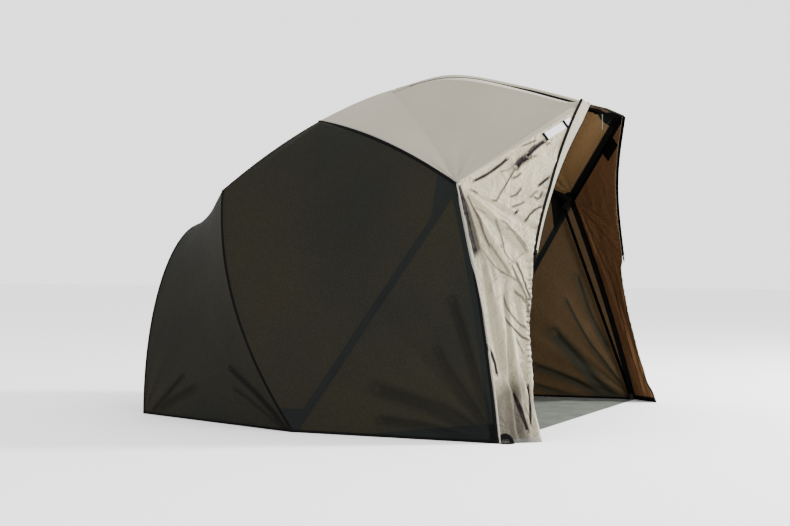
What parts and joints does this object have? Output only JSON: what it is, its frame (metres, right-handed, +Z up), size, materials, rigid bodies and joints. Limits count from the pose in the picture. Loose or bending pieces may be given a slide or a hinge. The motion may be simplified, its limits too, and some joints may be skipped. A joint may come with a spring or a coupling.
{
  "type": "fishing umbrella",
  "caption": "Umbrella-framed fishing shelter: ribs and legs fold from a central hub under an oval canopy with an open front, a low rear hoop and a groundsheet.",
  "frame": {"origin": "on the ground, on the underside of the groundsheet, in the middle of the footprint", "axes": "+Z up, the open front faces -Y, +X to the right seen from the front"},
  "size_m": [1.991, 1.9423, 1.4766],
  "materials": {
    "roof_fabric": "matte beige woven polyester",
    "wall_fabric": "matte dark olive woven polyester",
    "groundsheet_fabric": "matte grey-green coated sheet",
    "black_webbing": "black woven tape",
    "label_cloth": "pale woven label, plain",
    "coated_tube": "dark coated glass-fibre pole",
    "black_plastic": "moulded black plastic",
    "foot_rubber": "black rubber",
    "pin_steel": "plain steel"
  },
  "bodies": {
    "canopy": {"roof_panel": "roof_fabric", "rear_roof_panel": "wall_fabric", "rear_wall_panel": "wall_fabric", "groundsheet": "groundsheet_fabric", "label_patch": "label_cloth", "left_wall_panel": "wall_fabric", "left_wall_quarter_panel": "wall_fabric", "left_front_panel": "roof_fabric", "left_rear_side_panel": "wall_fabric", "left_peg_tab": "black_webbing", "left_door_zip": "black_webbing", "right_wall_panel": "wall_fabric", "right_wall_quarter_panel": "wall_fabric", "right_front_panel": "roof_fabric", "right_rear_side_panel": "wall_fabric", "right_peg_tab": "black_webbing", "right_door_zip": "black_webbing"},
    "hub": {"hub_body": "black_plastic", "hub_ring": "pin_steel", "hub_cap": "black_plastic"},
    "peak_rib": {"peak_rib": "coated_tube", "crossbar_bracket": "black_plastic", "peak_crossbar": "coated_tube", "hanging_loop": "black_webbing"},
    "rear_arm": {"rear_arm": "coated_tube", "rear_knee": "black_plastic", "rear_knee_pin": "pin_steel"},
    "hoop_yoke": {"hoop_yoke": "black_plastic", "left_hoop_pin": "pin_steel", "right_hoop_pin": "pin_steel"},
    "left_front_arm": {"left_front_arm": "coated_tube", "left_front_knee": "black_plastic", "left_front_knee_pin": "pin_steel"},
    "left_front_leg": {"left_front_leg": "coated_tube", "left_front_foot": "foot_rubber"},
    "left_side_arm": {"left_side_arm": "coated_tube", "left_side_knee": "black_plastic", "left_side_knee_pin": "pin_steel"},
    "left_side_leg": {"left_side_leg": "coated_tube", "left_side_foot": "foot_rubber"},
    "left_hoop_leg": {"left_hoop_leg": "coated_tube", "left_hoop_foot": "foot_rubber"},
    "left_zip_slider": {"left_zip_slider": "pin_steel", "left_zip_tab": "black_webbing"},
    "right_front_arm": {"right_front_arm": "coated_tube", "right_front_knee": "black_plastic", "right_front_knee_pin": "pin_steel"},
    "right_front_leg": {"right_front_leg": "coated_tube", "right_front_foot": "foot_rubber"},
    "right_side_arm": {"right_side_arm": "coated_tube", "right_side_knee": "black_plastic", "right_side_knee_pin": "pin_steel"},
    "right_side_leg": {"right_side_leg": "coated_tube", "right_side_foot": "foot_rubber"},
    "right_hoop_leg": {"right_hoop_leg": "coated_tube", "right_hoop_foot": "foot_rubber"},
    "right_zip_slider": {"right_zip_slider": "pin_steel", "right_zip_tab": "black_webbing"}
  },
  "joints": [
    {"name": "hub_lower", "type": "slide", "parent": "canopy", "child": "hub", "axis": [0, 0, -1], "range_m": [0, 1.21], "deforming": ["roof_panel", "rear_roof_panel", "rear_wall_panel", "left_wall_panel", "left_wall_quarter_panel", "left_front_panel", "left_rear_side_panel", "left_door_zip", "right_wall_panel", "right_wall_quarter_panel", "right_front_panel", "right_rear_side_panel", "right_door_zip", "label_patch"]},
    {"name": "peak_rib_fold", "type": "hinge", "parent": "hub", "child": "peak_rib", "pos_m": [0, -0.028, 1.384], "axis": [-1, 0, 0], "range_deg": [0, 78.15]},
    {"name": "rear_arm_fold", "type": "hinge", "parent": "hub", "child": "rear_arm", "pos_m": [0, 0.048, 1.384], "axis": [1, 0, 0], "range_deg": [0, 116.75]},
    {"name": "hoop_yoke_fold", "type": "hinge", "parent": "rear_arm", "child": "hoop_yoke", "pos_m": [0, 0.89529, 0.80445], "axis": [-1, 0, 0], "range_deg": [0, 116.75]},
    {"name": "left_front_arm_fold", "type": "hinge", "parent": "hub", "child": "left_front_arm", "pos_m": [-0.02952, -0.01392, 1.384], "axis": [-0.6295, 0.777, 0], "range_deg": [0, 110.05]},
    {"name": "left_side_arm_fold", "type": "hinge", "parent": "hub", "child": "left_side_arm", "pos_m": [-0.03284, 0.02913, 1.384], "axis": [0.5033, 0.8641, 0], "range_deg": [0, 113.55]},
    {"name": "left_front_leg_fold", "type": "hinge", "parent": "left_front_arm", "child": "left_front_leg", "pos_m": [-0.72416, -0.57138, 0.92203], "axis": [0.7624, -0.6262, -0.1633], "range_deg": [0, 133.05]},
    {"name": "left_side_leg_fold", "type": "hinge", "parent": "left_side_arm", "child": "left_side_leg", "pos_m": [-0.69539, 0.40932, 0.91865], "axis": [-0.3611, -0.9028, 0.2334], "range_deg": [0, 114.75]},
    {"name": "left_hoop_leg_fold", "type": "hinge", "parent": "hoop_yoke", "child": "left_hoop_leg", "pos_m": [-0.014, 0.939, 0.818], "axis": [0, -1, 0], "range_deg": [0, 30.35]},
    {"name": "left_zip", "type": "hinge", "parent": "left_front_leg", "child": "left_zip_slider", "pos_m": [0.47594, -2.38263, 0.16556], "axis": [0.7015, 0.6346, -0.3244], "range_deg": [0, 19.5]},
    {"name": "right_front_arm_fold", "type": "hinge", "parent": "hub", "child": "right_front_arm", "pos_m": [0.02952, -0.01392, 1.384], "axis": [-0.6295, -0.777, 0], "range_deg": [0, 110.05]},
    {"name": "right_side_arm_fold", "type": "hinge", "parent": "hub", "child": "right_side_arm", "pos_m": [0.03284, 0.02913, 1.384], "axis": [0.5033, -0.8641, 0], "range_deg": [0, 113.55]},
    {"name": "right_front_leg_fold", "type": "hinge", "parent": "right_front_arm", "child": "right_front_leg", "pos_m": [0.72416, -0.57138, 0.92203], "axis": [0.7624, 0.6262, 0.1633], "range_deg": [0, 133.05]},
    {"name": "right_side_leg_fold", "type": "hinge", "parent": "right_side_arm", "child": "right_side_leg", "pos_m": [0.69539, 0.40932, 0.91865], "axis": [-0.3611, 0.9028, -0.2334], "range_deg": [0, 114.75]},
    {"name": "right_hoop_leg_fold", "type": "hinge", "parent": "hoop_yoke", "child": "right_hoop_leg", "pos_m": [0.014, 0.939, 0.818], "axis": [0, 1, 0], "range_deg": [0, 30.35]},
    {"name": "right_zip", "type": "hinge", "parent": "right_front_leg", "child": "right_zip_slider", "pos_m": [-0.47594, -2.38263, 0.16556], "axis": [0.7015, -0.6346, 0.3244], "range_deg": [0, 19.5]}
  ],
  "couplings": [
    {"joint": "peak_rib_fold", "follows": "hub_lower", "rad_per_m": 1.1265},
    {"joint": "rear_arm_fold", "follows": "hub_lower", "rad_per_m": 1.6833},
    {"joint": "hoop_yoke_fold", "follows": "hub_lower", "rad_per_m": 1.6833},
    {"joint": "left_front_arm_fold", "follows": "hub_lower", "rad_per_m": 1.5867},
    {"joint": "left_side_arm_fold", "follows": "hub_lower", "rad_per_m": 1.6371},
    {"joint": "left_front_leg_fold", "follows": "hub_lower", "rad_per_m": 1.9184},
    {"joint": "left_side_leg_fold", "follows": "hub_lower", "rad_per_m": 1.6545},
    {"joint": "left_hoop_leg_fold", "follows": "hub_lower", "rad_per_m": 0.43705},
    {"joint": "right_front_arm_fold", "follows": "hub_lower", "rad_per_m": 1.5867},
    {"joint": "right_side_arm_fold", "follows": "hub_lower", "rad_per_m": 1.6371},
    {"joint": "right_front_leg_fold", "follows": "hub_lower", "rad_per_m": 1.9184},
    {"joint": "right_side_leg_fold", "follows": "hub_lower", "rad_per_m": 1.6545},
    {"joint": "right_hoop_leg_fold", "follows": "hub_lower", "rad_per_m": 0.43705}
  ]
}
